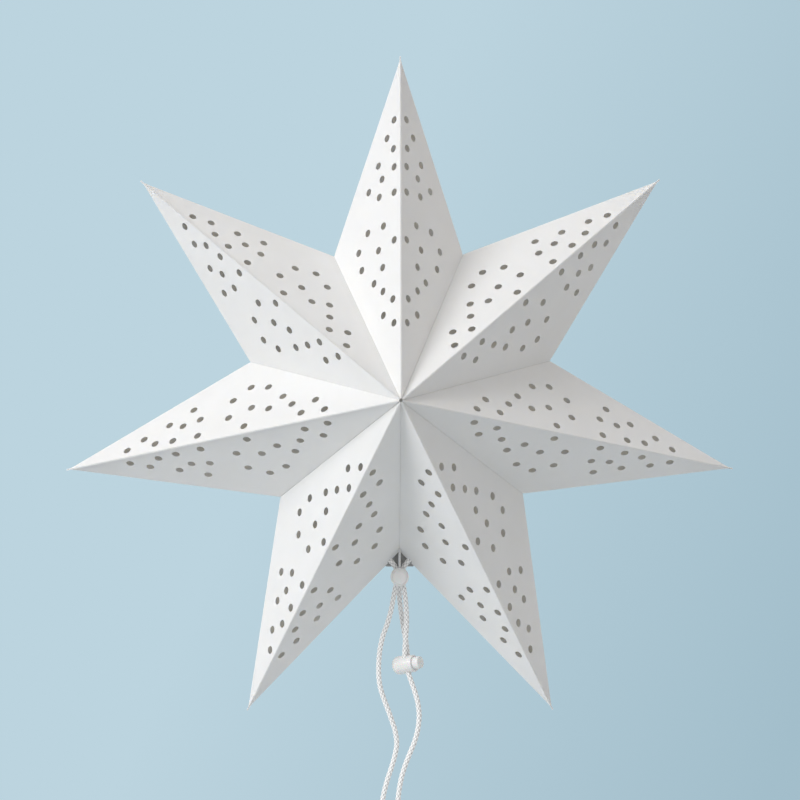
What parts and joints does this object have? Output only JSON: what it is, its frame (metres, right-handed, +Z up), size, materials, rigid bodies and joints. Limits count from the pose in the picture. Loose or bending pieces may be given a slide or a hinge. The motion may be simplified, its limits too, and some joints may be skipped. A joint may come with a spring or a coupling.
{
  "type": "hanging folded paper star",
  "caption": "Hollow seven-pointed star of folded, punched white card, closed at a seam by braided drawcords with spring cord locks.",
  "frame": {"origin": "the outer end of the top point, where the star is hung", "axes": "+Z up through the top point, -Y to the front of the star, +X to the right as seen from the front"},
  "size_m": [0.4712, 0.2116, 0.59],
  "materials": {
    "card": "matt white card with a faint grain",
    "cord": "white braided polyester",
    "lock": "satin white moulded plastic",
    "spring": "plain spring wire"
  },
  "bodies": {
    "star": {"point_1_left_half": "card", "point_1_right_half": "card", "point_2_left_half": "card", "point_2_right_half": "card", "point_3_left_half": "card", "point_3_right_half": "card", "point_4_left_half": "card", "point_4_right_half": "card", "point_5_left_half": "card", "point_5_right_half": "card", "point_6_left_half": "card", "point_6_right_half": "card", "point_7_left_half": "card", "point_7_right_half": "card", "left_cord": "cord", "right_cord": "cord", "rear_cord": "cord", "left_inner_knot": "cord", "right_inner_knot": "cord", "rear_inner_knot": "cord", "left_end_knot": "cord", "right_end_knot": "cord", "upper_lock_barrel": "lock", "upper_lock_spring": "spring", "lower_lock_barrel": "lock", "lower_lock_spring": "spring"},
    "upper_button": {"upper_lock_plunger": "lock"},
    "lower_button": {"lower_lock_plunger": "lock"}
  },
  "joints": [
    {"name": "upper_lock_press", "type": "slide", "parent": "star", "child": "upper_button", "axis": [0, -1, 0], "range_m": [0, 0.0016], "stiffness_N_per_m": 1200, "springref_m": -0.002, "deforming": ["upper_lock_spring"]},
    {"name": "lower_lock_press", "type": "slide", "parent": "star", "child": "lower_button", "axis": [-0.8109, 0.5592, -0.1724], "range_m": [0, 0.0016], "stiffness_N_per_m": 1200, "springref_m": -0.002, "deforming": ["lower_lock_spring"]}
  ]
}
